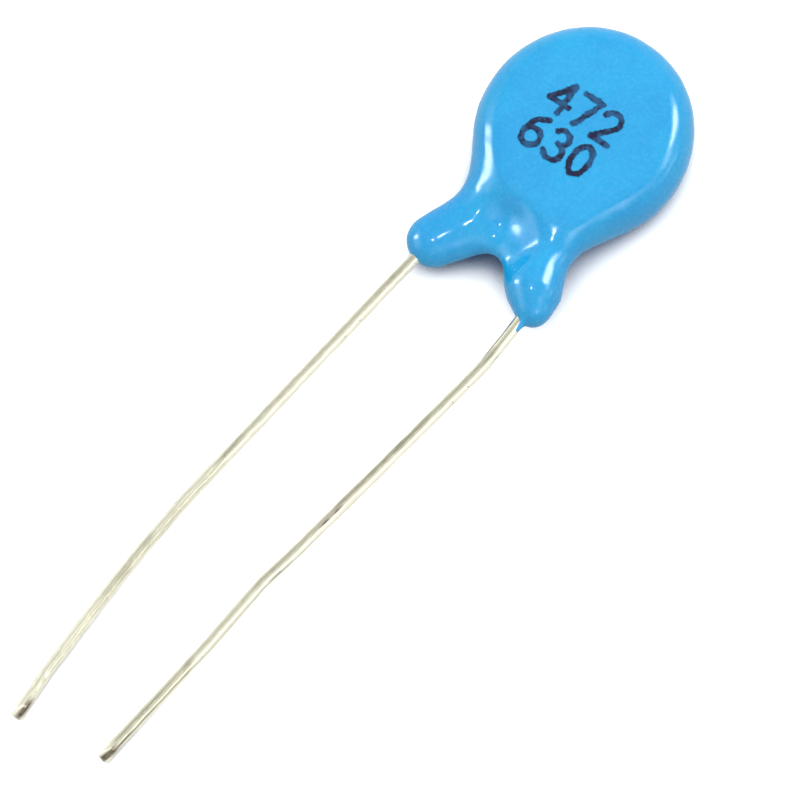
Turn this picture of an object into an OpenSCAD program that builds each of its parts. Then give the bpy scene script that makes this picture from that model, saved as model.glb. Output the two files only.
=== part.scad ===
// Ceramic disc capacitor, lying on its back face with +Z up and its leads towards -Y.
// Two tinned wires are soldered across the silvered faces of a ceramic disc. The disc is
// dipped in epoxy, which runs down each wire in a tapered leg and webs the gap between them.

/* [Ceramic disc] */
// Diameter of the ceramic
ceramic_d = 9.2; // [8.6:0.1:9.4]
// Thickness of the ceramic
ceramic_t = 1.7; // [1.4:0.05:1.8]
// Bare ceramic left round the silver
silver_margin = 0.5; // [0.3:0.05:0.8]
// Thickness of the fired silver on each face
silver_t = 0.03; // [0.02:0.01:0.05]

/* [Solder] */
// Width of the solder mound over each wire
solder_w = 1.9; // [1.8:0.05:2.2]
// Solder over the top of the wire
solder_cover = 0.08; // [0.06:0.01:0.12]
// Solder under the wire
solder_bed = 0.03; // [0.02:0.01:0.05]
// How far out from the middle of the disc the mound stays full
solder_reach = 3; // [2.4:0.1:3]

/* [Leads] */
// Diameter of the tinned wire
wire_d = 0.64; // [0.56:0.02:0.66]
// How far each wire runs past the middle of the disc
wire_lap = 1.6; // [1:0.1:1.8]
// Where each wire leaves the silver and slopes towards its leg, from the middle of the disc
wire_break = 4.9; // [4.7:0.1:5.2]
// Flat left on each cut end between the two bevels of the cutter
cut_flat = 0.3; // [0.2:0.05:0.5]

/* [Epoxy coat] */
// Width of the coated disc
coat_w = 11.1; // [10.9:0.1:11.4]
// Length of the coated disc along the dip
coat_l = 11.68; // [11.4:0.02:11.8]
// Thickness over the flat faces
coat_t = 3.7; // [3.6:0.05:3.9]
// Width of the rounded rim
rim_w = 1.75; // [1.5:0.05:2]
// Height that the rim's curve would reach above each face, were the face not flat
rim_rise = 0.08; // [0.04:0.01:0.12]
// Height of each leg's middle line above or below the disc's middle
leg_lift = 0.55; // [0.45:0.05:0.6]
// Radius of the left leg where it leaves the disc
leg_left_root = 1.48; // [1.4:0.02:1.54]
// Radius of the left leg's tip
leg_left_tip = 1.17; // [1.1:0.01:1.22]
// Radius of the right leg where it leaves the disc
leg_right_root = 0.88; // [0.8:0.01:0.95]
// Radius of the bulb that hangs at the right leg's tip
leg_right_tip = 0.86; // [0.8:0.01:0.95]
// Radius of the web where it is rooted between the legs
web_r = 1.1; // [1:0.05:1.2]

/* [Hidden] */

wire_r = wire_d / 2;
floor_z = -coat_t / 2;
face_z = ceramic_t / 2 + silver_t;
seat_z = face_z + solder_bed + wire_r;
disc_fn = 96;
curve_fn = 48;
tube_sides = 20;
tube_r = wire_r - 0.004;
bend_steps = 4;
lap = 0.3;
cut_slope = 40;

// Plan of the legs, measured from the middle of the disc. The wire runs down each of them.
root_left = [-1.18, -5, -leg_lift];
tip_left = [-3.1, -8.98, -leg_lift];
root_right = [2.2, -5, leg_lift];
neck_right = [2.74, -8.37, leg_lift];
bulb_right = [3.43, -9.5, leg_lift - 0.05];
neck_right_r = 1.39;
web_root = [-0.42, -5.67, 0];
web_far = [neck_right.x, neck_right.y, 0.1];
web_left_r = 0.86;
web_right_r = 0.83;
leg_squash = 1.15;
web_squash = 1.7;
// Sizes of the soft corners where one form runs into the next.
leg_blend = 2.6;
web_blend = 1.37;
crotch_blend = 1.38;
bulb_blend = 0.7;
face_blend = 0.16;

// Mesh of the coat: rays from the middle of the disc and rings along each ray. Beyond a join
// that slants from its outer side to the crotch, each leg is carried on as sections across it.
join_out = 7;
join_in = 8.5;
turn_left = -19.2;
turn_right = 19.4;
turn_out = 35;
turn_in = 0.6;
flank = 14;
rings = 13;
crotch_steps = 10;
flank_steps = 9;
round_steps = 55;
leg_across = 12;
leg_steps = 12;
// Bounds of the searches: a ray runs from well inside the rim to clear of it, or of a leg's tip.
inside_rim = 4;
past_rim = 9;
past_tip = 12;
past_face = 2.4;
halvings = 16;
thirds = 9;

// Each lead's corners in plan, measured from the middle of the disc, with the radius of the
// bend there. The first corner is inside its leg and the last is the cut end.
run_front = [[3.25, -9.25, 1.5], [3.07, -13.35, 14], [0.5, -28.95, 9],
             [0.08, -33.45, 40], [-1, -41.35, 0]];
run_back = [[-3.15, -8.85, 1.5], [-3.62, -12.25, 20], [-5.27, -25.45, 8],
            [-5.87, -32.45, 30], [-5.97, -42, 0]];
seat_bend_r = 4;

// The part stands at the middle of its own outline, on the surface that it rests on.
out_left = run_back[4].x - wire_r;
out_front = run_back[4].y;
shift = [-(coat_w / 2 + out_left) / 2, -(coat_l / 2 + out_front) / 2, -floor_z];

function unit(v) = v / norm(v);
function eased(a, b, n) = [for (i = [0:n]) a + (b - a) * (1 - cos(180 * i / n)) / 2];

// ---- Leads: straight runs joined by arcs of true wire bends ----

// Corners in space: over the silver, down the leg, then out with an even fall to the floor.
function lead_route(run, side) = let (
    out = unit([run[0].x, run[0].y]),
    last = len(run) - 1,
    z0 = side * leg_lift,
    fall = (floor_z + wire_r - z0) / (run[last].y - run[0].y)
) concat(
    [[-wire_lap * out.x, -wire_lap * out.y, side * seat_z, 0],
     [wire_break * out.x, wire_break * out.y, side * seat_z, seat_bend_r]],
    [for (c = run) [c.x, c.y, z0 + fall * (c.y - run[0].y), c.z]]
);

function corner(route, i) = [route[i].x, route[i].y, route[i].z];
function heading(route, i) = unit(corner(route, i + 1) - corner(route, i));
function turn_at(route, i) = acos(min(1, heading(route, i - 1) * heading(route, i)));
function tangent_len(route, i) =
    (i == 0 || i == len(route) - 1) ? 0 : route[i][3] * tan(turn_at(route, i) / 2);

// Where the middle line is at one bend, and which way it heads there, part way round.
function bend_point(route, i, part) = let (
    a = heading(route, i - 1),
    b = heading(route, i),
    inward = unit(b - (a * b) * a),
    start = corner(route, i) - a * tangent_len(route, i),
    bend_r = route[i][3],
    angle = turn_at(route, i) * part
) [start + inward * bend_r * (1 - cos(angle)) + a * bend_r * sin(angle),
    a * cos(angle) + inward * sin(angle)];

// The bent tube laps a little way inside the two straight cylinders that it joins.
function last_bend(route) = len(route) - 2;
function seat_end(route) = bend_point(route, 1, 0)[0] - lap * heading(route, 0);
function pin_heading(route) = heading(route, last_bend(route));
function pin_start(route) = bend_point(route, last_bend(route), 1)[0] + lap * pin_heading(route);
function stations(route) = concat(
    [[seat_end(route) - lap * heading(route, 0), heading(route, 0)]],
    [for (i = [1:last_bend(route)]) for (j = [0:bend_steps]) bend_point(route, i, j / bend_steps)],
    [[pin_start(route) + lap * pin_heading(route), pin_heading(route)]]
);

// One ring of the tube, square to the middle line.
function ring(station) = let (
    across = unit(cross([0, 0, 1], station[1])),
    up = cross(station[1], across)
) [for (k = [0:tube_sides - 1]) let (angle = 360 * k / tube_sides)
    station[0] + tube_r * (across * cos(angle) + up * sin(angle))];

// Columns of a frame whose +Z is the given direction.
function frame_along(dir, place) = let (
    across = unit(cross([0, 0, 1], dir)),
    up = cross(dir, across)
) [[across.x, up.x, dir.x, place.x],
    [across.y, up.y, dir.y, place.y],
    [across.z, up.z, dir.z, place.z],
    [0, 0, 0, 1]];

module bent_tube(route) {
    path = stations(route);
    n = tube_sides;
    last = len(path) - 1;
    polyhedron(
        points = [for (s = path) each ring(s)],
        faces = concat(
            [[for (k = [0:n - 1]) k], [for (k = [n - 1:-1:0]) last * n + k]],
            [for (j = [0:last - 1], k = [0:n - 1]) let (m = (k + 1) % n) each [
                [j * n + k, (j + 1) * n + m, j * n + m],
                [j * n + k, (j + 1) * n + k, (j + 1) * n + m]]]
        )
    );
}

module rod(from, to) {
    multmatrix(frame_along(unit(to - from), from))
        cylinder(r = wire_r, h = norm(to - from), $fn = curve_fn);
}

// The stretch that lies over the silver, straight and true.
module wire_seat(route) {
    rod(corner(route, 0), seat_end(route));
}

// The straight end that goes through the board is a true cylinder as well.
module wire(run, side) {
    route = lead_route(run, side);
    wire_seat(route);
    bent_tube(route);
    rod(pin_start(route), corner(route, len(route) - 1));
}

// Two flats of the cutter meet over the end and leave a narrow flat between them.
module cut_end(run, side) {
    route = lead_route(run, side);
    bite = 2;
    multmatrix(frame_along(pin_heading(route), corner(route, len(route) - 1)))
        for (way = [-1, 1])
            translate([0, way * cut_flat / 2, 0])
                rotate([way * cut_slope, 0, 0])
                    translate([-bite, way > 0 ? 0 : -bite, -bite])
                        cube([2 * bite, bite, 2 * bite]);
}

module lead(run, side) {
    color("lightgray") difference() {
        wire(run, side);
        cut_end(run, side);
    }
}

// ---- Solder: a mound with a bell section and round ends, over each wire ----

solder_past = 0.3;
function bell(x) = (wire_d + solder_bed + solder_cover) * (1 + cos(360 * x / solder_w)) / 2;
bell_steps = 8;
bell_half = [for (i = [0:bell_steps]) let (x = solder_w / 2 * (1 - i / bell_steps)) [x, bell(x)]];
bell_back = [for (i = [bell_steps - 1:-1:0]) [-bell_half[i].x, bell_half[i].y]];

module mound(run, side) {
    turn = atan2(run[0].x, -run[0].y);
    start = wire_lap + solder_past;
    span = start + solder_reach;
    mirror([0, 0, side > 0 ? 0 : 1])
        translate([0, 0, face_z])
            rotate([0, 0, turn])
                translate([0, start, 0]) {
                    rotate([90, 0, 0]) linear_extrude(span) polygon(concat(bell_half, bell_back));
                    for (y = [0, -span]) translate([0, y, 0])
                        rotate_extrude($fn = curve_fn) polygon(concat([[0, 0]], bell_half));
                }
}

module solder(run, side) {
    color("gainsboro") difference() {
        mound(run, side);
        wire_seat(lead_route(run, side));
    }
}

// ---- Ceramic and its silvered faces ----

module ceramic_disc() {
    color("linen") translate([0, 0, -ceramic_t / 2])
        cylinder(d = ceramic_d, h = ceramic_t, $fn = disc_fn);
}

module electrode(side) {
    color("silver") translate([0, 0, side * (ceramic_t + silver_t) / 2])
        cylinder(d = ceramic_d - 2 * silver_margin, h = silver_t, center = true, $fn = disc_fn);
}

// ---- Coat: a rounded disc, two legs and a web, run together as a liquid would ----

// Two distances run into one, with a soft corner of the given size.
function soft_min(a, b, k) = let (h = max(k - abs(a - b), 0) / k) min(a, b) - h * h * k / 4;

// Distance from a tapered rod with round ends. A bow above 1 keeps it stout until near its tip.
function rod_depth(p, a, b, ra, rb, bow = 1, squash = 1) = let (
    d = b - a,
    t = min(1, max(0, (p - a) * d / (d * d))),
    q = p - a - t * d
) norm([q.x, q.y, q.z * squash]) - (ra + (rb - ra) * pow(t, bow));

function disc_depth(p) = let (
    half = coat_t / 2 + rim_rise,
    rho = norm([p.x, p.y * coat_w / coat_l]),
    u = max(rho - (coat_w / 2 - rim_w), 0) / rim_w
) (norm([u, p.z / half]) - 1) * half;

// Negative inside the coat.
function coat_depth(p) = let (
    disc = disc_depth(p),
    left = rod_depth(p, root_left, tip_left, leg_left_root, leg_left_tip, 2.5, leg_squash),
    right = rod_depth(p, root_right, neck_right, leg_right_root, neck_right_r, 1.5, leg_squash),
    web_left = rod_depth(p, web_root, tip_left, web_r, web_left_r, 1.5, web_squash),
    web_right = rod_depth(p, web_root, web_far, web_r, web_right_r, 1.5, web_squash),
    bulb = rod_depth(p, neck_right, bulb_right, leg_right_tip, leg_right_tip),
    legs = soft_min(soft_min(disc, left, leg_blend), right, leg_blend),
    webbed = soft_min(legs, soft_min(web_left, web_right, crotch_blend), web_blend),
    whole = soft_min(webbed, bulb, bulb_blend)
) -soft_min(-whole, coat_t / 2 - abs(p.z), face_blend);

function at(rho, turn, z) = [rho * sin(turn), -rho * cos(turn), z];

// Close in on the surface between a place inside the coat and one outside it.
function reach(turn, z, inside, outside, n = halvings) =
    let (mid = (inside + outside) / 2)
    n == 0 ? inside
    : coat_depth(at(mid, turn, z)) < 0 ? reach(turn, z, mid, outside, n - 1)
    : reach(turn, z, inside, mid, n - 1);
function rise(rho, turn, inside, outside, n = halvings) =
    let (mid = (inside + outside) / 2)
    n == 0 ? inside
    : coat_depth(at(rho, turn, mid)) < 0 ? rise(rho, turn, mid, outside, n - 1)
    : rise(rho, turn, inside, mid, n - 1);
function edge_turn(rho, z, inside, outside, n = halvings) =
    let (mid = (inside + outside) / 2)
    n == 0 ? inside
    : coat_depth(at(rho, mid, z)) < 0 ? edge_turn(rho, z, mid, outside, n - 1)
    : edge_turn(rho, z, inside, mid, n - 1);

// Height at which a ray reaches furthest, found by thirds.
function widest(turn, low = -1, high = 1, n = thirds) =
    let (a = low + (high - low) / 3, b = high - (high - low) / 3)
    n == 0 ? (low + high) / 2
    : reach(turn, a, inside_rim, past_rim) < reach(turn, b, inside_rim, past_rim)
    ? widest(turn, a, high, n - 1)
    : widest(turn, low, b, n - 1);

// Sections across a leg, over the top from side to side, then back underneath, up to its tip.
// Each side is given as its distance at the join and a direction clear of the leg.
function leg_sections(turn, z, first, last) = let (tip = reach(turn, z, join_in, past_tip)) concat(
    [for (j = [1:leg_steps - 1]) let (
        part = sin(90 * j / leg_steps),
        first_rho = first[0] + (tip - first[0]) * part,
        last_rho = last[0] + (tip - last[0]) * part,
        rho = eased(first_rho, last_rho, leg_across),
        first_turn = edge_turn(first_rho, z, turn, first[1]),
        last_turn = edge_turn(last_rho, z, turn, last[1]),
        across = eased(first_turn, last_turn, leg_across)
    ) each concat(
        [for (i = [0:leg_across])
            at(rho[i], across[i], i % leg_across == 0 ? z : rise(rho[i], across[i], z, past_face))],
        [for (i = [leg_across - 1:-1:1]) at(rho[i], across[i], rise(rho[i], across[i], z, -past_face))]
    )],
    [at(tip, turn, z)]
);

// Two triangles of a four-sided patch, split along its shorter diagonal. Its corners, given
// as places in a list of points, run clockwise seen from outside.
function patch(points, a, b, c, d) = norm(points[a] - points[c]) < norm(points[b] - points[d])
    ? [[a, b, c], [a, c, d]]
    : [[b, c, d], [b, d, a]];

module coat_form() {
    m = leg_across;
    // Directions in which the sides of each leg cross the join.
    l0 = edge_turn(join_out, -leg_lift, turn_left, -turn_out);
    l1 = edge_turn(join_in, -leg_lift, turn_left, turn_in);
    r0 = edge_turn(join_in, leg_lift, turn_right, turn_in);
    r1 = edge_turn(join_out, leg_lift, turn_right, turn_out);
    round = l0 + 360 - r1 - 2 * flank;
    turns = concat(
        eased(l0, l1, m),
        [for (i = [1:crotch_steps - 1]) l1 + (r0 - l1) * i / crotch_steps],
        eased(r0, r1, m),
        [for (i = [1:flank_steps]) r1 + flank * i / flank_steps],
        [for (i = [1:round_steps - 1]) r1 + flank + round * i / round_steps],
        [for (i = [flank_steps:-1:1]) l0 + 360 - flank * i / flank_steps]
    );
    rays = len(turns);
    from_l = 0;
    from_r = m + crotch_steps;
    on_leg = function(i, from) i >= from && i <= from + m;
    open = function(i) (i > from_l && i < from_l + m) || (i > from_r && i < from_r + m);
    mid_z = [for (i = [0:rays - 1])
        on_leg(i, from_l) ? -leg_lift : on_leg(i, from_r) ? leg_lift : widest(turns[i])];
    join = eased(join_out, join_in, m);
    rho = [for (i = [0:rays - 1])
        on_leg(i, from_l) ? join[i - from_l]
        : on_leg(i, from_r) ? join[from_r + m - i]
        : reach(turns[i], mid_z[i], inside_rim, past_rim)];
    steps = [for (k = [1:rings]) 1 - pow(1 - k / rings, 2)];

    // Every ray has its upper points, its lower points and one or two points on the rim.
    skin = function(limit) [for (i = [0:rays - 1], k = [0:rings - 2])
        let (r = steps[k] * coat_w / 2 + pow(steps[k], 4) * (rho[i] - coat_w / 2))
        at(r, turns[i], rise(r, turns[i], mid_z[i], limit))];
    rim = function(limit) [for (i = [0:rays - 1])
        at(rho[i], turns[i], open(i) ? rise(rho[i], turns[i], mid_z[i], limit) : mid_z[i])];
    left_leg = leg_sections(turn_left, -leg_lift, [join_out, -turn_out], [join_in, turn_in]);
    right_leg = leg_sections(turn_right, leg_lift, [join_in, turn_in], [join_out, turn_out]);
    pole_z = rise(0, 0, 0, past_face);
    points = concat([[0, 0, pole_z], [0, 0, -pole_z]],
        skin(past_face), skin(-past_face), rim(past_face), rim(-past_face), left_leg, right_leg);

    n = rings - 1;
    at_lower = 2 + rays * n;
    at_rim = at_lower + rays * n;
    at_under = at_rim + rays;
    at_left = at_under + rays;
    at_right = at_left + len(left_leg);
    upper = function(i, k) k < n ? 2 + (i % rays) * n + k : at_rim + i % rays;
    lower = function(i, k)
        k < n ? at_lower + (i % rays) * n + k : (open(i) ? at_under : at_rim) + i % rays;
    // Points round a leg's section, of which the first is the join itself.
    around = function(start, from, j, i) let (w = i % (2 * m))
        j > 0 ? start + (j - 1) * 2 * m + w : w <= m ? at_rim + from + w : at_under + from + 2 * m - w;
    sleeve = function(start, from) concat(
        [for (j = [0:leg_steps - 2], i = [0:2 * m - 1]) each patch(points,
            around(start, from, j, i), around(start, from, j, i + 1),
            around(start, from, j + 1, i + 1), around(start, from, j + 1, i))],
        [for (i = [0:2 * m - 1]) [around(start, from, leg_steps - 1, i),
            around(start, from, leg_steps - 1, i + 1), start + (leg_steps - 1) * 2 * m]]
    );
    polyhedron(points = points, convexity = 8, faces = concat(
        [for (i = [0:rays - 1]) [0, upper(i + 1, 0), upper(i, 0)]],
        [for (i = [0:rays - 1]) [1, lower(i, 0), lower(i + 1, 0)]],
        [for (i = [0:rays - 1], k = [0:n - 1]) each patch(points,
            upper(i, k), upper(i + 1, k), upper(i + 1, k + 1), upper(i, k + 1))],
        [for (i = [0:rays - 1], k = [0:n - 1]) each patch(points,
            lower(i, k), lower(i, k + 1), lower(i + 1, k + 1), lower(i + 1, k))],
        sleeve(at_left, from_l),
        sleeve(at_right, from_r)
    ));
}

module coating() {
    color("deepskyblue") difference() {
        coat_form();
        ceramic_disc();
        for (side = [-1, 1]) {
            run = side > 0 ? run_front : run_back;
            electrode(side);
            mound(run, side);
            wire(run, side);
        }
    }
}

translate(shift) coating();
translate(shift) ceramic_disc();
translate(shift) electrode(1);  // electrode_front
translate(shift) electrode(-1);  // electrode_back
translate(shift) solder(run_front, 1);  // solder_front
translate(shift) solder(run_back, -1);  // solder_back
translate(shift) lead(run_front, 1);  // lead_front
translate(shift) lead(run_back, -1);  // lead_back
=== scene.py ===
import bmesh
import bpy
import math
import numpy as np
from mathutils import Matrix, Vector


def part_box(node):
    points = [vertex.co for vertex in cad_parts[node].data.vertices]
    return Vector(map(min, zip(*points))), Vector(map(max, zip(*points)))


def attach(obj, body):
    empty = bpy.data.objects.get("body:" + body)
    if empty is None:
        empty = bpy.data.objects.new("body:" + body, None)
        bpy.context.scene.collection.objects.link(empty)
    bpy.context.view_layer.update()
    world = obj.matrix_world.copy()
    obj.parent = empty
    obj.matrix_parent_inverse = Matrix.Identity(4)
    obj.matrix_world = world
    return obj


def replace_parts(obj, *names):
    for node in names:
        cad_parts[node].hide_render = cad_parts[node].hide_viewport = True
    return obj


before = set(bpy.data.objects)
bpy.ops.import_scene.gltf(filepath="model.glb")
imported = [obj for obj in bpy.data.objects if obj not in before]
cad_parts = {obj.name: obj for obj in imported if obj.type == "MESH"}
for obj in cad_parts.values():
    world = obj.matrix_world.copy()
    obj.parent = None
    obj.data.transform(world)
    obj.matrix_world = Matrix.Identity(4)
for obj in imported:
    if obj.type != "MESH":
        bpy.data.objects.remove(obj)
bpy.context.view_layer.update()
mm = 0.001  # the settings below are in mm
low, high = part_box("ceramic_disc")
discMiddle = np.array((low + high) / 2) / mm  # the coat, the leads and the marking are set out from here
print("frame loaded, disc middle at", discMiddle.round(3))


def newPiece(name, points, faces, material):
    # points come in mm from the disc's middle
    mesh = bpy.data.meshes.new(name)
    mesh.from_pydata([tuple(p) for p in (points + discMiddle) * mm], [], faces)
    mesh.update()
    piece = bpy.data.objects.new(name, mesh)
    bpy.context.scene.collection.objects.link(piece)
    mesh.materials.append(material)
    mesh.polygons.foreach_set("use_smooth", [True] * len(faces))
    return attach(piece, "root")


def addValues(piece, name, values):
    layer = piece.data.attributes.new(name, "FLOAT", "POINT")
    layer.data.foreach_set("value", np.asarray(values, np.float32))


def addVectors(piece, name, values):
    layer = piece.data.attributes.new(name, "FLOAT_VECTOR", "POINT")
    layer.data.foreach_set("vector", np.asarray(values, np.float32).ravel())


def ripples(points, size, seed, count=7):
    # smooth random waves about one size long, mostly between -1 and 1
    rng = np.random.default_rng(seed)
    total = np.zeros(points.shape[:-1])
    for k in range(count):
        way = rng.normal(size=3)
        way /= np.linalg.norm(way)
        turns = 2 * math.pi / (size * rng.uniform(0.7, 1.5))
        total += np.sin(points @ way * turns + rng.uniform(0, 2 * math.pi))
    return total / math.sqrt(count)


def startGroup(name, inputs, outputs):
    group = bpy.data.node_groups.new(name, "ShaderNodeTree")
    for label, kind, value in inputs:
        socket = group.interface.new_socket(label, in_out="INPUT", socket_type=kind)
        socket.default_value = value
    for label, kind in outputs:
        group.interface.new_socket(label, in_out="OUTPUT", socket_type=kind)
    return group, group.nodes.new("NodeGroupInput"), group.nodes.new("NodeGroupOutput")


def addNode(tree, kind, **values):
    node = tree.nodes.new(kind)
    for key, value in values.items():
        if hasattr(node, key):
            setattr(node, key, value)
        else:
            node.inputs[key.replace("_", " ")].default_value = value
    return node


def noiseOf(tree, vector, scale, detail=3.0, rough=0.55):
    noise = addNode(tree, "ShaderNodeTexNoise", Detail=detail, Roughness=rough)
    tree.links.new(vector, noise.inputs["Vector"])
    if isinstance(scale, (int, float)):
        noise.inputs["Scale"].default_value = scale
    else:
        tree.links.new(scale, noise.inputs["Scale"])
    return noise.outputs["Fac"]


def remap(tree, value, fromLow, fromHigh, toLow=0.0, toHigh=1.0, smooth=True):
    node = tree.nodes.new("ShaderNodeMapRange")
    node.interpolation_type = "SMOOTHSTEP" if smooth else "LINEAR"
    tree.links.new(value, node.inputs["Value"])
    for label, x in (("From Min", fromLow), ("From Max", fromHigh), ("To Min", toLow), ("To Max", toHigh)):
        if isinstance(x, (int, float)):
            node.inputs[label].default_value = x
        else:
            tree.links.new(x, node.inputs[label])
    return node.outputs["Result"]


def calc(tree, operation, a, b=0.0, clamp=False):
    node = tree.nodes.new("ShaderNodeMath")
    node.operation = operation
    node.use_clamp = clamp
    for k, x in enumerate((a, b)):
        if isinstance(x, (int, float)):
            node.inputs[k].default_value = x
        else:
            tree.links.new(x, node.inputs[k])
    return node.outputs[0]


def mixColours(tree, amount, a, b):
    node = tree.nodes.new("ShaderNodeMix")
    node.data_type = "RGBA"
    for label, x in (("Factor", amount), ("A", a), ("B", b)):
        socket = [s for s in node.inputs if s.name == label and s.enabled][0]
        if isinstance(x, (int, float)):
            socket.default_value = x
        elif isinstance(x, tuple):
            socket.default_value = (*x, 1.0)
        else:
            tree.links.new(x, socket)
    return [s for s in node.outputs if s.enabled][0]


def makeMottle():
    # broad and fine colour variation, with roughness that follows it
    group, gin, gout = startGroup("mottle", [
        ("Vector", "NodeSocketVector", (0, 0, 0)),
        ("Colour", "NodeSocketColor", (1, 1, 1, 1)),
        ("Shade", "NodeSocketColor", (0.5, 0.5, 0.5, 1)),
        ("Scale", "NodeSocketFloat", 400.0),
        ("Amount", "NodeSocketFloat", 0.3),
        ("Roughness", "NodeSocketFloat", 0.3),
        ("Spread", "NodeSocketFloat", 0.1),
    ], [("Colour", "NodeSocketColor"), ("Roughness", "NodeSocketFloat")])
    at = gin.outputs
    broad = noiseOf(group, at["Vector"], at["Scale"], 2.0)
    fine = noiseOf(group, at["Vector"], calc(group, "MULTIPLY", at["Scale"], 7.0), 3.0, 0.65)
    both = calc(group, "ADD", calc(group, "MULTIPLY", broad, 0.65), calc(group, "MULTIPLY", fine, 0.35))
    mask = remap(group, both, 0.36, 0.64)
    colour = mixColours(group, calc(group, "MULTIPLY", mask, at["Amount"]), at["Colour"], at["Shade"])
    change = calc(group, "MULTIPLY", calc(group, "SUBTRACT", mask, 0.5), at["Spread"])
    group.links.new(colour, gout.inputs["Colour"])
    group.links.new(calc(group, "ADD", at["Roughness"], change, True), gout.inputs["Roughness"])
    return group


def makeSpecks():
    # sparse round specks, such as dust, pinholes or pits
    group, gin, gout = startGroup("specks", [
        ("Vector", "NodeSocketVector", (0, 0, 0)),
        ("Scale", "NodeSocketFloat", 900.0),
        ("Size", "NodeSocketFloat", 0.12),
        ("Share", "NodeSocketFloat", 0.1),
    ], [("Mask", "NodeSocketFloat")])
    at = gin.outputs
    cells = addNode(group, "ShaderNodeTexVoronoi")
    group.links.new(at["Vector"], cells.inputs["Vector"])
    group.links.new(at["Scale"], cells.inputs["Scale"])
    split = group.nodes.new("ShaderNodeSeparateColor")
    group.links.new(cells.outputs["Color"], split.inputs["Color"])
    chosen = calc(group, "LESS_THAN", split.outputs["Red"], at["Share"])
    size = calc(group, "MULTIPLY", at["Size"], calc(group, "ADD", split.outputs["Green"], 0.4))
    near = remap(group, cells.outputs["Distance"], calc(group, "MULTIPLY", size, 0.5), size, 1.0, 0.0)
    group.links.new(calc(group, "MULTIPLY", near, chosen), gout.inputs["Mask"])
    return group


mottle = makeMottle()
specks = makeSpecks()


def placeGroup(tree, group, vector, **values):
    node = tree.nodes.new("ShaderNodeGroup")
    node.node_tree = group
    tree.links.new(vector, node.inputs["Vector"])
    for key, value in values.items():
        if isinstance(value, tuple):
            value = (*value, 1.0)  # a colour
        node.inputs[key.replace("_", " ")].default_value = value
    return node.outputs


def startMaterial(name, **values):
    material = bpy.data.materials.new(name)
    material.use_nodes = True
    tree = material.node_tree
    shader = tree.nodes["Principled BSDF"]
    for key, value in values.items():
        shader.inputs[key.replace("_", " ")].default_value = value
    return material, tree, shader


def placeOn(tree):
    return tree.nodes.new("ShaderNodeTexCoord").outputs["Object"]


def addBump(tree, shader, height, distance):
    # height runs from 0 to 1 over the given distance in mm
    bump = addNode(tree, "ShaderNodeBump", Strength=1.0, Distance=distance * mm)
    tree.links.new(height, bump.inputs["Height"])
    tree.links.new(bump.outputs["Normal"], shader.inputs["Normal"])


def attribute(tree, name, output="Fac"):
    node = tree.nodes.new("ShaderNodeAttribute")
    node.attribute_name = name
    return node.outputs[output]


# The epoxy coat: one blended form, the same as the solid's, with the swells and hollows of a dip.
coat = {
    "width": 11.1, "length": 11.68, "thick": 3.7,
    "rimWidth": 1.75, "rimRise": 0.08,
    # each rod of the form: from, to, radius at each end, how late it tapers, how flat it is
    "legLeft": ((-1.18, -5, -0.55), (-3.1, -8.98, -0.55), 1.48, 1.17, 2.5, 1.15),
    "legRight": ((2.2, -5, 0.55), (2.74, -8.37, 0.55), 0.88, 1.39, 1.5, 1.15),
    "webLeft": ((-0.42, -5.67, 0), (-3.1, -8.98, -0.55), 1.1, 0.86, 1.5, 1.7),
    "webRight": ((-0.42, -5.67, 0), (2.74, -8.37, 0.1), 1.1, 0.83, 1.5, 1.7),
    "bulb": ((2.74, -8.37, 0.55), (3.43, -9.5, 0.5), 0.86, 0.86, 1, 1),
    "fin": ((3.42, -10.05, 0.64), (3.42, -10.88, 0.64), 0.24, 0.07, 1, 1),
    # how broadly they run into each other
    "faceBlend": 0.16, "legBlend": 2.6, "webBlend": 1.37, "crotchBlend": 1.38, "bulbBlend": 0.7,
    "finBlend": 0.25,
    # where, how wide and how deep; below zero is a swell
    "hollows": [
        (-0.54, -6.49, 0.79, 0.675, 0.25), (-0.54, -6.32, 0.9, 0.72, 0.25), (1.37, -7.51, 0.53, 0.62, 0.15),
        (2.10, -6.81, 1.21, 0.62, 0.15), (2.36, -7.20, 1.63, 0.6, -0.15),
    ],
    # the coat's extra thickness, its long and short waves, and the share of them that a flat face keeps
    "grow": 0.028, "wave": 0.010, "waveSize": 3.6, "ripple": 0.006, "rippleSize": 1.0, "seed": 11,
    "faceShare": 0.15, "faceDepth": 0.4,
    # rows of balls inside each rod that the mesh starts from: radius at each end
    "balls": {
        "legLeft": (1.2, 0.95), "legRight": (0.9, 0.85), "bulb": (0.85, 0.8), "webLeft": (0.6, 0.6),
        "webRight": (0.6, 0.6), "webFill": (0.7, 0.7), "fin": (0.28, 0.2),
    },
    "webFill": ((0.7, -6.1, 0), (2.0, -7.1, 0.1)),  # only balls, which keep the web free of holes
    "roughCell": 0.17, "cell": 0.085,
    "blue": (0.008, 0.452, 0.86), "deepBlue": (0.004, 0.365, 0.80),
    "paleGrain": (0.10, 0.50, 0.86), "paleShare": 0.22, "deepGrain": (0.003, 0.33, 0.78), "deepShare": 0.32,
    "dust": (0.35, 0.62, 0.85), "dustShare": 0.35, "peelDepth": 0.006,
    "gloss": 0.12, "shine": 0.5, "grazingShine": 0.34,
}


def softMin(a, b, blend):
    h = np.maximum(blend - np.abs(a - b), 0) / blend
    return np.minimum(a, b) - h * h * blend / 4


def rodDepth(p, name):
    start, end, startR, endR, late, flat = coat[name]
    a = np.array(start, float)
    d = np.array(end, float) - a
    t = np.clip((p - a) @ d / (d @ d), 0, 1)
    q = p - a - t[..., None] * d
    away = np.sqrt(q[..., 0] ** 2 + q[..., 1] ** 2 + (q[..., 2] * flat) ** 2)
    return away - (startR + (endR - startR) * t ** late)


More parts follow.
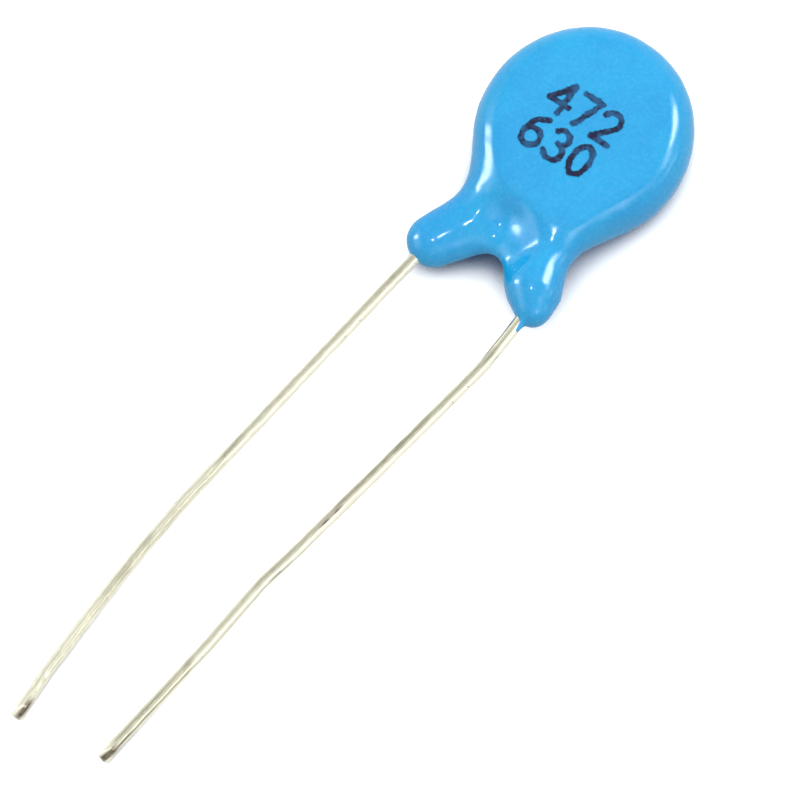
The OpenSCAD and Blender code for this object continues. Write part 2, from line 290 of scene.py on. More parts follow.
def coatDepth(p):
    # negative inside the coat
    c = coat
    half = c["thick"] / 2 + c["rimRise"]
    rho = np.hypot(p[..., 0], p[..., 1] * c["width"] / c["length"])
    u = np.maximum(rho - (c["width"] / 2 - c["rimWidth"]), 0) / c["rimWidth"]
    disc = (np.hypot(u, p[..., 2] / half) - 1) * half
    web = softMin(rodDepth(p, "webLeft"), rodDepth(p, "webRight"), c["crotchBlend"])
    whole = softMin(disc, rodDepth(p, "legLeft"), c["legBlend"])
    whole = softMin(whole, rodDepth(p, "legRight"), c["legBlend"])
    whole = softMin(whole, web, c["webBlend"])
    whole = softMin(whole, rodDepth(p, "bulb"), c["bulbBlend"])
    whole = softMin(whole, rodDepth(p, "fin"), c["finBlend"])
    depth = -softMin(-whole, c["thick"] / 2 - np.abs(p[..., 2]), c["faceBlend"])
    for x, y, z, size, deep in c["hollows"]:
        away = (p[..., 0] - x) ** 2 + (p[..., 1] - y) ** 2 + (p[..., 2] - z) ** 2
        depth = depth + deep * np.exp(-away / (2 * size ** 2))
    # the flat faces lie true, and the waves grow towards the rim and the legs
    off = np.clip((c["thick"] / 2 - np.abs(p[..., 2])) / c["faceDepth"], c["faceShare"], 1)
    broad = c["wave"] * ripples(p, c["waveSize"], c["seed"])
    fine = c["ripple"] * ripples(p, c["rippleSize"], c["seed"] + 1)
    return depth + off * (broad + fine - c["grow"])


def slopeOf(depth, p, step=0.002):
    slope = np.zeros_like(p)
    for axis in range(3):
        move = np.zeros(3)
        move[axis] = step
        slope[..., axis] = (depth(p + move) - depth(p - move)) / (2 * step)
    return slope


def settle(depth, p, rounds=6):
    # moves points along the slope on to the surface, by at most 0.3 mm a round
    for k in range(rounds):
        slope = slopeOf(depth, p)
        size = np.maximum((slope ** 2).sum(-1), 0.05)
        p = p - np.clip(depth(p) / size, -0.3, 0.3)[..., None] * slope
    return p


def remeshed(points, faces, cell):
    mesh = bpy.data.meshes.new("rough")
    mesh.from_pydata([tuple(p) for p in points], [], faces)
    piece = bpy.data.objects.new("rough", mesh)
    bpy.context.scene.collection.objects.link(piece)
    remesh = piece.modifiers.new("remesh", "REMESH")
    remesh.mode = "VOXEL"
    remesh.voxel_size = cell
    evaluated = piece.evaluated_get(bpy.context.evaluated_depsgraph_get())
    out = evaluated.to_mesh()
    made = np.array([v.co for v in out.vertices]), [tuple(f.vertices) for f in out.polygons]
    evaluated.to_mesh_clear()
    bpy.data.objects.remove(piece)
    bpy.data.meshes.remove(mesh)
    return made


def evenOut(depth, points, faces, rounds):
    # slides the points along the surface towards the middle of their neighbours
    edges = np.array(sorted({tuple(sorted((f[k], f[k - 1]))) for f in faces for k in range(len(f))}))
    ends = np.concatenate([edges, edges[:, ::-1]])
    count = np.bincount(ends[:, 0], minlength=len(points))[:, None]
    for k in range(rounds):
        total = np.zeros_like(points)
        np.add.at(total, ends[:, 0], points[ends[:, 1]])
        points = settle(depth, 0.5 * points + 0.5 * total / count, 2)
    return points


def roughCoat():
    # overlapping balls that fill the coat, to be remeshed into one skin
    shape = bmesh.new()
    made = bmesh.ops.create_uvsphere(shape, u_segments=48, v_segments=16, radius=1)
    for v in made["verts"]:
        v.co = Vector((v.co.x * coat["width"] / 2, v.co.y * coat["length"] / 2, v.co.z * coat["thick"] / 2))
    for name, (startR, endR) in coat["balls"].items():
        start, end = coat[name][:2]
        for t in np.linspace(0, 1, 9):
            middle = Vector(start).lerp(Vector(end), t)
            made = bmesh.ops.create_icosphere(shape, subdivisions=2, radius=startR + (endR - startR) * t)
            for v in made["verts"]:
                v.co += middle
    shape.verts.index_update()
    points = [tuple(v.co) for v in shape.verts]
    faces = [tuple(v.index for v in f.verts) for f in shape.faces]
    shape.free()
    return points, faces


def makeCoat(material):
    points, faces = remeshed(*roughCoat(), coat["roughCell"])
    points = evenOut(coatDepth, settle(coatDepth, points, 12), faces, 3)
    points, faces = remeshed(points, faces, coat["cell"])
    points = evenOut(coatDepth, settle(coatDepth, points), faces, 4)
    piece = newPiece("epoxyCoat", points, faces, material)
    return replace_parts(piece, "coating")


def makeEpoxy():
    material, tree, shader = startMaterial("blueEpoxy", IOR=1.52)
    place = placeOn(tree)
    tone = placeGroup(tree, mottle, place, Scale=260.0, Colour=coat["blue"], Shade=coat["deepBlue"],
                      Amount=0.75, Roughness=coat["gloss"], Spread=0.05)
    dust = placeGroup(tree, specks, place, Scale=700.0, Size=0.10, Share=0.035)["Mask"]
    colour = mixColours(tree, calc(tree, "MULTIPLY", dust, coat["dustShare"]), tone["Colour"], coat["dust"])
    grain = noiseOf(tree, place, 5200.0, detail=2.0, rough=0.7)
    pale = remap(tree, grain, 0.42, 0.75, 0.0, coat["paleShare"])
    deep = remap(tree, grain, 0.58, 0.25, 0.0, coat["deepShare"])
    colour = mixColours(tree, pale, colour, coat["paleGrain"])
    colour = mixColours(tree, deep, colour, coat["deepGrain"])
    tree.links.new(colour, shader.inputs["Base Color"])
    tree.links.new(tone["Roughness"], shader.inputs["Roughness"])
    # the waxed surface shines less and less towards its edges
    facing = addNode(tree, "ShaderNodeLayerWeight", Blend=0.5).outputs["Facing"]
    shine = remap(tree, facing, 0.25, 0.75, coat["shine"], coat["grazingShine"])
    tree.links.new(shine, shader.inputs["Specular IOR Level"])
    addBump(tree, shader, noiseOf(tree, place, 1500.0, detail=1.0), coat["peelDepth"])
    return material


coatPiece = makeCoat(makeEpoxy())
print("coat made:", len(coatPiece.data.vertices), "points")


# The marking: two rows of plain numbers stamped on the face in thin dark ink.
ink = {
    # row, where its middle is in plan from the disc's middle
    "rows": [("472", (-0.26, 0.49)), ("630", (-0.40, -1.80))],
    "tall": 1.72, "wide": 1.12, "advance": 1.42, "stroke": 0.168, "soft": 0.045,
    "acrossX": (-3.2, 2.6), "acrossY": (-3.3, 2.0), "grid": 0.03, "above": 0.006, "below": 0.006,
    "bleed": 0.022, "bleedSize": 0.5, "edgeGrain": 0.014, "edgeGrainSize": 0.16, "seed": 5,
    "dark": (0.004, 0.006, 0.045), "thin": (0.008, 0.10, 0.26), "worn": 0.9,
}


def arc(x, y, wide, tall, start, end, steps=14):
    turn = np.radians(np.linspace(start, end, steps))
    return [(x + wide * math.cos(a), y + tall * math.sin(a)) for a in turn]


# each figure is drawn with a round pen in a box from 0 to 1 both ways
figures = {
    "0": [arc(0.5, 0.5, 0.42, 0.5, 0, 360, 25)],
    "2": [arc(0.5, 0.72, 0.42, 0.28, 165, -35) + [(0.06, 0.0), (0.98, 0.0)]],
    "3": [arc(0.46, 0.76, 0.38, 0.24, 150, -80), arc(0.46, 0.27, 0.46, 0.27, 90, -150)],
    "4": [[(0.74, 0.0), (0.74, 1.0), (0.0, 0.32), (1.0, 0.32)]],
    "6": [arc(0.5, 0.29, 0.44, 0.29, 0, 360, 22), arc(0.86, 0.30, 0.80, 0.70, 180, 95)],
    "7": [[(0.04, 1.0), (0.96, 1.0), (0.36, 0.0)]],
}


def penDistance(places):
    # distance from the pen's path, for places in plan
    best = np.full(len(places), 9.0)
    for text, middle in ink["rows"]:
        for k, figure in enumerate(text):
            left = middle[0] + (k - 1) * ink["advance"] - ink["wide"] / 2
            corner = np.array([left, middle[1] - ink["tall"] / 2])
            for path in figures[figure]:
                path = np.array(path) * (ink["wide"], ink["tall"]) + corner
                for a, b in zip(path[:-1], path[1:]):
                    d = b - a
                    t = np.clip((places - a) @ d / (d @ d), 0, 1)
                    best = np.minimum(best, np.linalg.norm(places - a - t[:, None] * d, axis=1))
    return best


def heightOn(depth, x, y, guess):
    # the surface straight above each place in plan
    p = np.stack([x, y, np.full_like(x, guess)], -1)
    step = 0.002
    for k in range(5):
        slope = (depth(p + (0, 0, step)) - depth(p - (0, 0, step))) / (2 * step)
        p[:, 2] -= np.clip(depth(p) / np.maximum(slope, 0.2), -0.2, 0.2)
    return p[:, 2]


def addClipped(corner, inside, field, faces):
    # adds the part of one triangle where the field is above zero
    points = []
    for a, b in ((0, 1), (1, 2), (2, 0)):
        i, j = corner[a], corner[b]
        if field[i] > 0:
            points.append(inside(i, i))
        if (field[i] > 0) != (field[j] > 0):
            points.append(inside(min(i, j), max(i, j)))
    if len(points) > 2:
        faces.append(points)


def makeMarking(material):
    x = np.arange(*ink["acrossX"], ink["grid"])
    y = np.arange(*ink["acrossY"], ink["grid"])
    places = np.stack(np.meshgrid(x, y), -1).reshape(-1, 2)
    flat = np.column_stack([places, np.zeros(len(places))])
    bleed = ink["bleed"] * ripples(flat, ink["bleedSize"], ink["seed"])
    rough = bleed + ink["edgeGrain"] * ripples(flat, ink["edgeGrainSize"], ink["seed"] + 1)
    field = ink["stroke"] + ink["soft"] - penDistance(places) + rough
    made, faces, wide = {}, [], len(x)

    def inside(i, j):
        # the number of the point on the edge from i to j, or of a grid point where they are the same
        return made.setdefault((i, j), len(made))

    near = np.nonzero(field.reshape(len(y), wide) > -2 * ink["grid"])
    for row, column in zip(*near):
        if row + 1 < len(y) and column + 1 < wide:
            i = row * wide + column
            addClipped((i, i + 1, i + wide + 1), inside, field, faces)
            addClipped((i, i + wide + 1, i + wide), inside, field, faces)
    pairs = np.array(list(made))
    a, b = field[pairs[:, 0]], field[pairs[:, 1]]
    share = np.where(pairs[:, 0] == pairs[:, 1], 0, a / np.where(a == b, 1, a - b))
    plan = places[pairs[:, 0]] * (1 - share[:, None]) + places[pairs[:, 1]] * share[:, None]
    height = heightOn(coatDepth, plan[:, 0], plan[:, 1], coat["thick"] / 2)
    depth = np.maximum(field[pairs[:, 0]] * (1 - share) + field[pairs[:, 1]] * share, 0)
    top = np.column_stack([plan, height + ink["above"]])
    under = np.column_stack([plan, height - ink["below"]])
    count = len(plan)
    sides = {(f[k], f[(k + 1) % len(f)]) for f in faces for k in range(len(f))}
    walls = [(j, i, i + count, j + count) for i, j in sides if (j, i) not in sides]
    back = [tuple(i + count for i in reversed(f)) for f in faces]
    faces = [tuple(f) for f in faces] + walls + back
    piece = newPiece("marking", np.concatenate([top, under]), faces, material)
    piece.data.set_sharp_from_angle(angle=math.radians(40))
    addValues(piece, "inkDepth", np.concatenate([depth, depth]))
    return piece


def makeInk():
    material, tree, shader = startMaterial("stampInk", IOR=1.4)
    place = placeOn(tree)
    grain = noiseOf(tree, place, 2600.0, detail=3.0, rough=0.6)
    broad = noiseOf(tree, place, 900.0, detail=2.0)
    # the ink thins out over the last 0.085 mm to its edge
    edge = calc(tree, "MULTIPLY", calc(tree, "SUBTRACT", grain, 0.5), 0.10)
    cover = remap(tree, calc(tree, "ADD", attribute(tree, "inkDepth"), edge), 0.0, 0.085)
    both = calc(tree, "ADD", calc(tree, "MULTIPLY", broad, 0.5), calc(tree, "MULTIPLY", grain, 0.5))
    worn = remap(tree, both, 0.43, 0.57, 0.0, ink["worn"])
    body = mixColours(tree, worn, ink["dark"], ink["thin"])
    tree.links.new(mixColours(tree, cover, coat["blue"], body), shader.inputs["Base Color"])
    tree.links.new(remap(tree, grain, 0.3, 0.7, 0.16, 0.34), shader.inputs["Roughness"])
    addBump(tree, shader, grain, 0.004)
    return material


marking = makeMarking(makeInk())
print("marking made:", len(marking.data.polygons), "faces")


# The two leads: tinned wire, swept along the same route as the solid's.
lead = {
    "diameter": 0.64, "around": 48, "step": 0.08,
    # on the ceramic's face: its start past the middle, its height, and where and how it bends off the face
    "lap": 1.6, "seatHeight": 1.23, "break": 4.9, "seatBend": 4.0,
    "lift": 0.55,  # above or below the disc's middle in the legs
    # corners in plan from the disc's middle, with the radius of the bend there
    "front": [
        (3.25, -9.25, 1.5), (3.07, -13.35, 14), (0.5, -28.95, 9), (0.08, -33.45, 40), (-1, -41.35, 0),
    ],
    "back": [
        (-3.15, -8.85, 1.5), (-3.62, -12.25, 20), (-5.27, -25.45, 8), (-5.87, -32.45, 30), (-5.97, -42, 0),
    ],
    # small wanders from that route: how far from the tip, how far sideways
    "frontWander": [
        (0, 0), (1.5, -0.05), (4.5, -0.08), (8, -0.12), (11.5, -0.13), (15, -0.04), (21, 0), (40, 0),
    ],
    "backWander": [
        (0, 0.05), (1, 0.0), (3, -0.09), (6, -0.08), (9.5, -0.03), (12, -0.06), (14, -0.09), (17, 0),
        (40, 0),
    ],
    # dents, which fade out over the plain tip, and the slanting facet at the tip
    "dent": 0.012, "dentSize": 0.45, "deepestDent": 0.03, "plainTip": 2,
    "facet": 0.75, "facetTurn": 62, "facetDeep": 0.62, "facetCurve": 1.3,
    # tin colours; the third is for streaks that are partly tarnish and partly painted shade and reflection
    "tin": (0.97, 0.94, 0.74), "tinShade": (0.86, 0.82, 0.62), "tarnishAndShade": (0.33, 0.31, 0.22),
    "brown": (0.085, 0.055, 0.035), "dots": (0.20, 0.16, 0.10), "dotShare": 0.55,
}

# Streaks on the wire: kind, from and to along the lead in mm from the tip, the turn round the wire at each
# end in degrees (0 to the right, 90 on top), half width in degrees, strength. The first kind is partly
# tarnish and partly painted shade and painted reflection, darker bands along the sides of the wire; the
# brown kind marks the cut tip and a few spots.
frontStreaks = [
    ("tarnishAndShade", 29.4, 22.0, 98, 98, 37, 0.56), ("tarnishAndShade", 24.5, 17.6, 112, 122, 24, 0.48),
    ("tarnishAndShade", 22.6, 11.8, 102, 100, 36, 0.54), ("tarnishAndShade", 31.6, 28.6, 152, 148, 17, 0.85),
    ("tarnishAndShade", 31.6, 28.6, 88, 88, 13, 0.62), ("tarnishAndShade", 31.0, 7.0, 0, 0, 20, 0.42),
    ("tarnishAndShade", 14.2, 12.6, 30, 30, 9, 0.6), ("tarnishAndShade", 16.4, 11.4, 16, 24, 12, 0.3),
    ("tarnishAndShade", 12.4, 6.0, 30, 34, 13, 0.34), ("tarnishAndShade", 12.0, 6.4, 104, 108, 34, 0.38),
    ("tarnishAndShade", 6.8, 1.0, 82, 82, 46, 0.55), ("tarnishAndShade", 6.4, 1.0, 38, 38, 10, 0.70),
    ("tarnishAndShade", 4.8, 1.4, 98, 98, 10, 0.3), ("brown", 17.9, 17.4, 80, 80, 10, 0.95),
    ("brown", 17.1, 16.5, 80, 80, 10, 0.95), ("brown", 29.25, 29.05, 20, 20, 12, 0.6),
    ("brown", 13.4, 12.7, 34, 34, 6, 0.5), ("brown", 3.8, 1.2, 38, 38, 6, 0.45),
    ("brown", 0.95, -0.15, 50, 64, 36, 0.95), ("brown", 2.0, 0.8, 46, 46, 10, 0.7),
]
backStreaks = [
    ("tarnishAndShade", 32.2, 17.2, 104, 97, 38, 0.42), ("tarnishAndShade", 32.0, 29.0, 102, 104, 34, 0.26),
    ("tarnishAndShade", 18.8, 16.7, 98, 92, 22, 0.38), ("tarnishAndShade", 17.2, 9.0, 56, 60, 24, 0.50),
    ("tarnishAndShade", 17.0, 10.8, 116, 118, 34, 0.10), ("tarnishAndShade", 11.9, 7.6, 104, 84, 26, 0.36),
    ("tarnishAndShade", 9.8, 1.2, 60, 54, 22, 0.50), ("tarnishAndShade", 4.2, 1.8, 92, 92, 8, 0.24),
    ("tarnishAndShade", 13.5, 7.0, 40, 30, 60, 0.14), ("tarnishAndShade", 32.2, 12.0, -2, -2, 22, 0.42),
    ("brown", 1.15, -0.05, 46, 44, 36, 0.95), ("brown", 1.5, 0.3, 118, 118, 9, 0.12),
]


def leadCorners(run, side):
    out = np.array(run[0][:2]) / math.hypot(*run[0][:2])
    startZ = side * lead["lift"]
    fall = (lead["diameter"] / 2 - coat["thick"] / 2 - startZ) / (run[-1][1] - run[0][1])
    seat = side * lead["seatHeight"]
    corners = [(*(-lead["lap"] * out), seat), (*(lead["break"] * out), seat)]
    corners += [(x, y, startZ + fall * (y - run[0][1])) for x, y, r in run]
    return np.array(corners), [0, lead["seatBend"]] + [r for x, y, r in run]


def roundedRoute(corners, radii, step):
    # straight runs joined by arcs, sampled evenly
    points = [corners[0]]
    for i in range(1, len(corners) - 1):
        a = corners[i] - corners[i - 1]
        b = corners[i + 1] - corners[i]
        a, b = a / np.linalg.norm(a), b / np.linalg.norm(b)
        turn = math.acos(min(1, a @ b))
        inward = (b - (a @ b) * a) / max(math.sin(turn), 1e-9)
        start = corners[i] - a * radii[i] * math.tan(turn / 2)
        for t in np.linspace(0, turn, 12):
            points.append(start + radii[i] * (inward * (1 - math.cos(t)) + a * math.sin(t)))
    points.append(corners[-1])
    points = np.array(points)
    along = np.concatenate([[0], np.cumsum(np.linalg.norm(np.diff(points, axis=0), axis=1))])
    places = np.linspace(0, along[-1], int(along[-1] / step) + 1)
    return np.stack([np.interp(places, along, points[:, k]) for k in range(3)], 1), places


def easedThrough(x, knots):
    # a smooth curve through the knots, level at each
    at = np.array(knots, float)
    k = np.clip(np.searchsorted(at[:, 0], x) - 1, 0, len(at) - 2)
    t = np.clip((x - at[k, 0]) / (at[k + 1, 0] - at[k, 0]), 0, 1)
    return at[k, 1] + (at[k + 1, 1] - at[k, 1]) * t * t * (3 - 2 * t)


def sweptFaces(rings, around):
    faces = []
    for j in range(rings - 1):
        for k in range(around):
            m = (k + 1) % around
            faces.append((j * around + k, j * around + m, (j + 1) * around + m, (j + 1) * around + k))
    faces.append(tuple(range(around - 1, -1, -1)))
    faces.append(tuple((rings - 1) * around + k for k in range(around)))
    return faces


def streakAmount(kind, streaks, fromTip, turn):
    # 0 for clean metal, 1 for a full streak, of tarnish with painted shade or of brown; a streak fades over
    # 0.5 mm at its ends, and at its sides
    clean = np.ones(np.broadcast(fromTip, turn).shape)
    for name, start, end, startTurn, endTurn, half, strength in streaks:
        if name == kind:
            t = (start - fromTip) / (start - end)
            middle = startTurn + (endTurn - startTurn) * np.clip(t, 0, 1)
            side = (turn - middle + 180) % 360 - 180
            ends = np.clip((np.minimum(t, 1 - t) * (start - end) + 0.25) / 0.5, 0, 1)
            clean = clean * (1 - strength * ends * np.exp(-(side / half) ** 4))
    return 1 - clean


def makeLead(name, node, run, wander, streaks, side, seed, material):
    corners, radii = leadCorners(run, side)
    route, along = roundedRoute(corners, radii, lead["step"])
    fromTip = along[-1] - along
    heading = np.gradient(route, axis=0)
    heading /= np.linalg.norm(heading, axis=1)[:, None]
    across = np.cross([0, 0, 1], heading)
    across /= np.linalg.norm(across, axis=1)[:, None]
    rise = np.cross(heading, across)
    route = route + easedThrough(fromTip, wander)[:, None] * across
    turn = np.linspace(0, 360, lead["around"], endpoint=False)
    cosine, sine = np.cos(np.radians(turn)), np.sin(np.radians(turn))
    # dents only take away from the round wire, and are twice as long as they are wide
    rod = np.stack(np.broadcast_arrays(cosine[None] * 0.3, sine[None] * 0.3, along[:, None] * 0.5), -1)
    dents = np.clip(lead["dent"] * (1 + 0.7 * ripples(rod, lead["dentSize"], seed)), 0, lead["deepestDent"])
    half = lead["diameter"] / 2
    radius = half - dents * np.clip(fromTip / lead["plainTip"], 0, 1)[:, None]
    x, y = radius * cosine, radius * sine
    # the cutters leave a slanting facet at the tip
    facing = (math.cos(math.radians(lead["facetTurn"])), math.sin(math.radians(lead["facetTurn"])))
    slant = np.clip((lead["facet"] - fromTip) / lead["facet"], 0, 1) ** lead["facetCurve"]
    limit = half * (1 - 2 * lead["facetDeep"] * slant)
    over = np.maximum(x * facing[0] + y * facing[1] - limit[:, None], 0)
    x, y = x - over * facing[0], y - over * facing[1]
    points = route[:, None] + x[..., None] * across[:, None] + y[..., None] * rise[:, None]
    faces = sweptFaces(len(route), lead["around"])
    piece = newPiece(name, points.reshape(-1, 3), faces, material)
    piece.data.set_sharp_from_angle(angle=math.radians(50))
    # places on the straightened wire, for its marks to follow
    place = np.stack(np.broadcast_arrays(cosine * half, sine * half, along[:, None]), -1)
    addVectors(piece, "wirePlace", place.reshape(-1, 3))
    for kind in ("tarnishAndShade", "brown"):
        addValues(piece, kind, streakAmount(kind, streaks, fromTip[:, None], turn[None]).ravel())
    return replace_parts(piece, node)


def makeTin():
    material, tree, shader = startMaterial("tinPlate", Metallic=1.0)
    wire = attribute(tree, "wirePlace", "Vector")
    tone = placeGroup(tree, mottle, wire, Scale=2.2, Colour=lead["tin"], Shade=lead["tinShade"],
                      Amount=0.5, Roughness=0.16, Spread=0.08)
    # the streaks, tarnish with painted shade and painted reflection, break up along the wire's draw marks
    stretch = addNode(tree, "ShaderNodeVectorMath", operation="MULTIPLY")
    tree.links.new(wire, stretch.inputs[0])
    stretch.inputs[1].default_value = (5.0, 5.0, 1.0)
    grain = noiseOf(tree, stretch.outputs[0], 2.4, detail=4.0, rough=0.65)
    patch = remap(tree, grain, 0.30, 0.70, 0.75, 1.2, False)
    tarnishAndShade = calc(tree, "MULTIPLY", attribute(tree, "tarnishAndShade"), patch, True)
    brown = calc(tree, "MULTIPLY", attribute(tree, "brown"), patch, True)
    # painted shade and reflection: the streaks darken the tin along the sides of the wire, partly as
    # tarnish
    colour = mixColours(tree, brown, mixColours(tree, tarnishAndShade, tone["Colour"], lead["tarnishAndShade"]), lead["brown"])
    dots = placeGroup(tree, specks, wire, Scale=4.5, Size=0.22, Share=0.10)["Mask"]
    colour = mixColours(tree, calc(tree, "MULTIPLY", dots, lead["dotShare"]), colour, lead["dots"])
    tree.links.new(colour, shader.inputs["Base Color"])
    rough = calc(tree, "ADD", tone["Roughness"], calc(tree, "MULTIPLY", tarnishAndShade, 0.06), True)
    tree.links.new(rough, shader.inputs["Roughness"])
    addBump(tree, shader, calc(tree, "SUBTRACT", grain, calc(tree, "MULTIPLY", dots, 0.5)), 0.008)
    return material


tin = makeTin()
makeLead("frontLead", "lead_front", lead["front"], lead["frontWander"], frontStreaks, 1, 3, tin)
makeLead("backLead", "lead_back", lead["back"], lead["backWander"], backStreaks, -1, 4, tin)
print("leads made")


# The solids that stay inside the coat: ceramic, fired silver and solder.
inner = {
    # nodes, colour, shade, metal, roughness, bump in mm
    "bareCeramic": (["ceramic_disc"], (0.78, 0.70, 0.60), (0.66, 0.57, 0.47), 0.0, 0.75, 0.010),
    "firedSilver": (["electrode_front", "electrode_back"],
                    (0.86, 0.85, 0.82), (0.72, 0.70, 0.66), 1.0, 0.42, 0.004),
    "satinSolder": (["solder_front", "solder_back"],
                    (0.70, 0.70, 0.71), (0.52, 0.52, 0.54), 1.0, 0.28, 0.012),
}


def finishInner(name, nodeNames, colour, shade, metal, rough, deep):
    material, tree, shader = startMaterial(name, Metallic=metal)
    place = placeOn(tree)
    tone = placeGroup(tree, mottle, place, Scale=420.0, Colour=colour, Shade=shade,
                      Amount=0.7, Roughness=rough, Spread=0.16)
    pits = placeGroup(tree, specks, place, Scale=1800.0, Size=0.2, Share=0.12)["Mask"]
    tree.links.new(tone["Colour"], shader.inputs["Base Color"])
    tree.links.new(tone["Roughness"], shader.inputs["Roughness"])
    height = calc(tree, "SUBTRACT", noiseOf(tree, place, 1600.0), calc(tree, "MULTIPLY", pits, 0.4))
    addBump(tree, shader, height, deep)
    for nodeName in nodeNames:
        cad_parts[nodeName].material_slots[0].material = material


for name, values in inner.items():
    finishInner(name, *values)
print("inner solids finished")


# The camera, the lights and the floor. In degrees: bearings turn from the camera's right, heights rise
# from the floor.
view = {"azimuth": 35.04, "elevation": 70.41, "lens": 1200.0, "aim": (0.563, -17.21, 0), "width": 40.845}
suns = {
    # soft lights that reflections leave out: bearing, height, width, share of the light
    "keySun": (125, 64, 60, 0.31),
    "sideSun": (-5, 30, 50, 0.11),
}
sparks = {
    # small lamps that only reflections show: bearing, height, radiance, and in mm distance, width, height
    "spark": (-150, 79, 90.0, 400, 21, 21),
}
# soft boxes in the surroundings that only reflections show: bearing, height, half width, half height,
# softness of the edge from 0 to 1, radiance added to the surroundings' own
boxes = [
    (164, 20, 9.0, 17, 0.9, 16.0),
    (174, 26, 40, 26, 1.0, 2.4),
    (24, 38, 14, 21, 0.9, 18.0),
    (22, 50, 18, 16, 1.0, 2.4),
    (2, 40, 16, 16, 1.0, 4.0),
    (-26, 40, 10, 22, 1.0, 0.9),
    (-52, 45, 20, 19, 1.0, 3.0),
    (-8, 15, 18, 14, 0.9, 1.6),
    (-88, 50, 32, 27, 1.0, 0.8),
    (140, 48, 62, 34, 0.7, -0.20),
]
sky = {"ambient": 0.62, "lean": 0.2, "reflected": 1.0}
floorLook = {
    "half": 2000, "base": (0.88, 0.885, 0.90),
    # the glow that lifts it to white, as the camera and as mirrors see it, and how it fades near the part,
    # which paints shade there
    "lift": 0.70, "mirroredLift": 0.12, "reach": 10, "liftLow": 0.33, "liftHigh": 0.70,
    "tint": (0.0, 0.005, 0.02),
    # its painted contact shadow, the colour it darkens to right under the part, and the share of its colour
    # that lights the part from below
    "closeShadowTint": (0.11, 0.145, 0.26), "closeReach": 2.2, "closeLow": 0.25, "closeHigh": 0.56,
    "bounce": 0.50,
}


def wayFrom(bearing, height):
    turn = math.radians(bearing + view["azimuth"])
    tilt = math.radians(height)
    return Vector((math.cos(turn) * math.cos(tilt), math.sin(turn) * math.cos(tilt), math.sin(tilt)))


def makeCamera():
    camera = bpy.data.objects.new("camera", bpy.data.cameras.new("camera"))
    bpy.context.scene.collection.objects.link(camera)
    camera.data.lens = view["lens"]
    half = math.atan(camera.data.sensor_width / 2 / view["lens"])
    back = wayFrom(-90, view["elevation"])
    distance = view["width"] / 2 / math.tan(half)
    camera.location = (Vector(discMiddle) + Vector(view["aim"]) + back * distance) * mm
    camera.rotation_euler = (-back).to_track_quat("-Z", "Y").to_euler()
    camera.data.clip_start = 0.01
    camera.data.clip_end = 10
    bpy.context.scene.camera = camera


def makeSpark(name, bearing, height, radiance, distance, width, tall):
    lamp = bpy.data.lights.new(name, "AREA")
    lamp.shape = "RECTANGLE"
    lamp.size = width * mm
    lamp.size_y = tall * mm
    lamp.energy = radiance * math.pi * width * tall * mm * mm
    spark = bpy.data.objects.new(name, lamp)
    bpy.context.scene.collection.objects.link(spark)
    way = wayFrom(bearing, height)
    spark.location = (Vector(discMiddle) + way * distance) * mm
    spark.rotation_euler = way.to_track_quat("Z", "Y").to_euler()
    spark.visible_camera = False
    spark.visible_diffuse = False


def makeSun(name, bearing, height, wide, share):
    # the share is of the light that makes a level white surface white
    lamp = bpy.data.lights.new(name, "SUN")
    lamp.angle = math.radians(wide)
    lamp.energy = share * math.pi / math.sin(math.radians(height))
    sun = bpy.data.objects.new(name, lamp)
    bpy.context.scene.collection.objects.link(sun)
    sun.rotation_euler = wayFrom(bearing, height).to_track_quat("Z", "Y").to_euler()
    sun.visible_glossy = False


def makeFloor():
    mesh = bpy.data.meshes.new("floor")
    half = floorLook["half"] * mm
    corners = [(-half, -half, 0), (half, -half, 0), (half, half, 0), (-half, half, 0)]
    mesh.from_pydata(corners, [], [(0, 1, 2, 3)])
    floor = bpy.data.objects.new("floor", mesh)
    bpy.context.scene.collection.objects.link(floor)
    material, tree, shader = startMaterial("paleFloor", Roughness=0.7, Specular_IOR_Level=0.0)
    path = tree.nodes.new("ShaderNodeLightPath")
    mirrored = calc(tree, "MAXIMUM", path.outputs["Is Glossy Ray"], path.outputs["Is Transmission Ray"])
    seen = calc(tree, "ADD", calc(tree, "MULTIPLY", path.outputs["Is Camera Ray"], floorLook["lift"]),
                calc(tree, "MULTIPLY", mirrored, floorLook["mirroredLift"]))
    # the glow fades out where the part stands close over the floor, a painted shade round the part
    near = addNode(tree, "ShaderNodeAmbientOcclusion", Distance=floorLook["reach"] * mm, samples=8)
    openness = remap(tree, near.outputs["AO"], floorLook["liftLow"], floorLook["liftHigh"])
    close = addNode(tree, "ShaderNodeAmbientOcclusion", Distance=floorLook["closeReach"] * mm, samples=8)
    clear = remap(tree, close.outputs["AO"], floorLook["closeLow"], floorLook["closeHigh"])
    # painted shadow: close under the part the floor's colour goes over to the dark shadow tint
    paperWithShadow = mixColours(tree, clear, floorLook["closeShadowTint"], floorLook["base"])
    scattered = calc(tree, "MULTIPLY", path.outputs["Is Diffuse Ray"], 1 - floorLook["bounce"])
    tree.links.new(mixColours(tree, scattered, paperWithShadow, (0.0, 0.0, 0.0)), shader.inputs["Base Color"])
    glow = mixColours(tree, openness, floorLook["tint"], (1.0, 1.0, 1.0))
    tree.links.new(glow, shader.inputs["Emission Color"])
    tree.links.new(seen, shader.inputs["Emission Strength"])
    floor.data.materials.append(material)


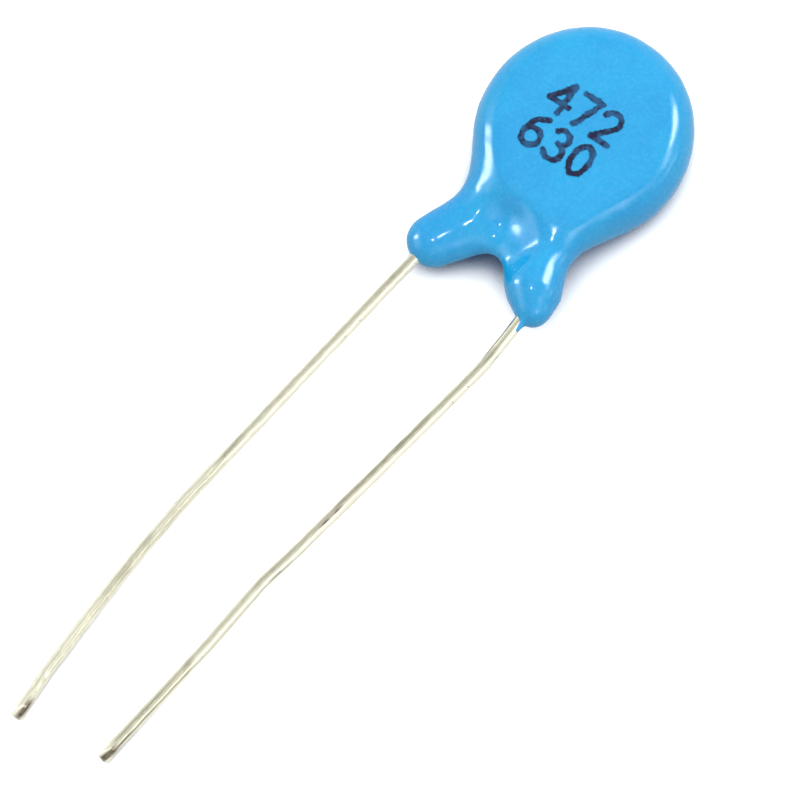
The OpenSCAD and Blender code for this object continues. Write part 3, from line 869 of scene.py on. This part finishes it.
def makeSoftBox():
    # a box of light in the surroundings with soft edges, from the direction looked in
    group, gin, gout = startGroup("softBox", [
        ("Vector", "NodeSocketVector", (0, 0, 0)),
        ("Middle", "NodeSocketVector", (0, 0, 1)),
        ("Right", "NodeSocketVector", (1, 0, 0)),
        ("Up", "NodeSocketVector", (0, 1, 0)),
        ("Half Width", "NodeSocketFloat", 0.2),
        ("Half Height", "NodeSocketFloat", 0.2),
        ("Inner", "NodeSocketFloat", 0.5),
        ("Radiance", "NodeSocketFloat", 1.0),
    ], [("Value", "NodeSocketFloat")])
    at = gin.outputs

    def along(label):
        dot = addNode(group, "ShaderNodeVectorMath", operation="DOT_PRODUCT")
        group.links.new(at["Vector"], dot.inputs[0])
        group.links.new(at[label], dot.inputs[1])
        return dot.outputs["Value"]

    depth = calc(group, "MAXIMUM", along("Middle"), 0.001)
    mask = calc(group, "GREATER_THAN", depth, 0.01)
    for label, half in (("Right", "Half Width"), ("Up", "Half Height")):
        off = calc(group, "ABSOLUTE", calc(group, "DIVIDE", along(label), depth))
        share = calc(group, "DIVIDE", off, at[half])
        mask = calc(group, "MULTIPLY", mask, remap(group, share, at["Inner"], 1.0, 1.0, 0.0))
    group.links.new(calc(group, "MULTIPLY", mask, at["Radiance"]), gout.inputs["Value"])
    return group


def makeWorld():
    world = bpy.data.worlds.new("studio")
    bpy.context.scene.world = world
    world.use_nodes = True
    tree = world.node_tree
    background = tree.nodes["Background"]
    background.inputs["Color"].default_value = (0.96, 0.98, 1.0, 1)
    path = tree.nodes.new("ShaderNodeLightPath")
    seen = calc(tree, "MAXIMUM", path.outputs["Is Camera Ray"],
                calc(tree, "MAXIMUM", path.outputs["Is Glossy Ray"], path.outputs["Is Transmission Ray"]))
    way = tree.nodes.new("ShaderNodeTexCoord").outputs["Generated"]
    softBox = makeSoftBox()
    shown = sky["reflected"]
    for bearing, height, wide, tall, soft, radiance in boxes:
        middle = wayFrom(bearing, height)
        right = middle.cross(Vector((0, 0, 1))).normalized()
        box = placeGroup(tree, softBox, way, Middle=middle, Right=right, Up=right.cross(middle),
                         Half_Width=math.tan(math.radians(wide)), Half_Height=math.tan(math.radians(tall)),
                         Inner=1 - soft, Radiance=radiance)
        shown = calc(tree, "ADD", box["Value"], shown)
    # the soft light leans towards the far side, so the near sides are darker
    lean = addNode(tree, "ShaderNodeVectorMath", operation="DOT_PRODUCT")
    tree.links.new(way, lean.inputs[0])
    lean.inputs[1].default_value = wayFrom(90, 0) * sky["lean"]
    ambient = calc(tree, "MULTIPLY", calc(tree, "ADD", lean.outputs["Value"], 1.0), sky["ambient"])
    tree.links.new(remap(tree, seen, 0, 1, ambient, shown, False), background.inputs["Strength"])


makeCamera()
for name, values in sparks.items():
    makeSpark(name, *values)
for name, values in suns.items():
    makeSun(name, *values)
makeFloor()
makeWorld()
bpy.context.scene.view_settings.view_transform = "Standard"
print("camera, lights and floor made")

print("scene ready")
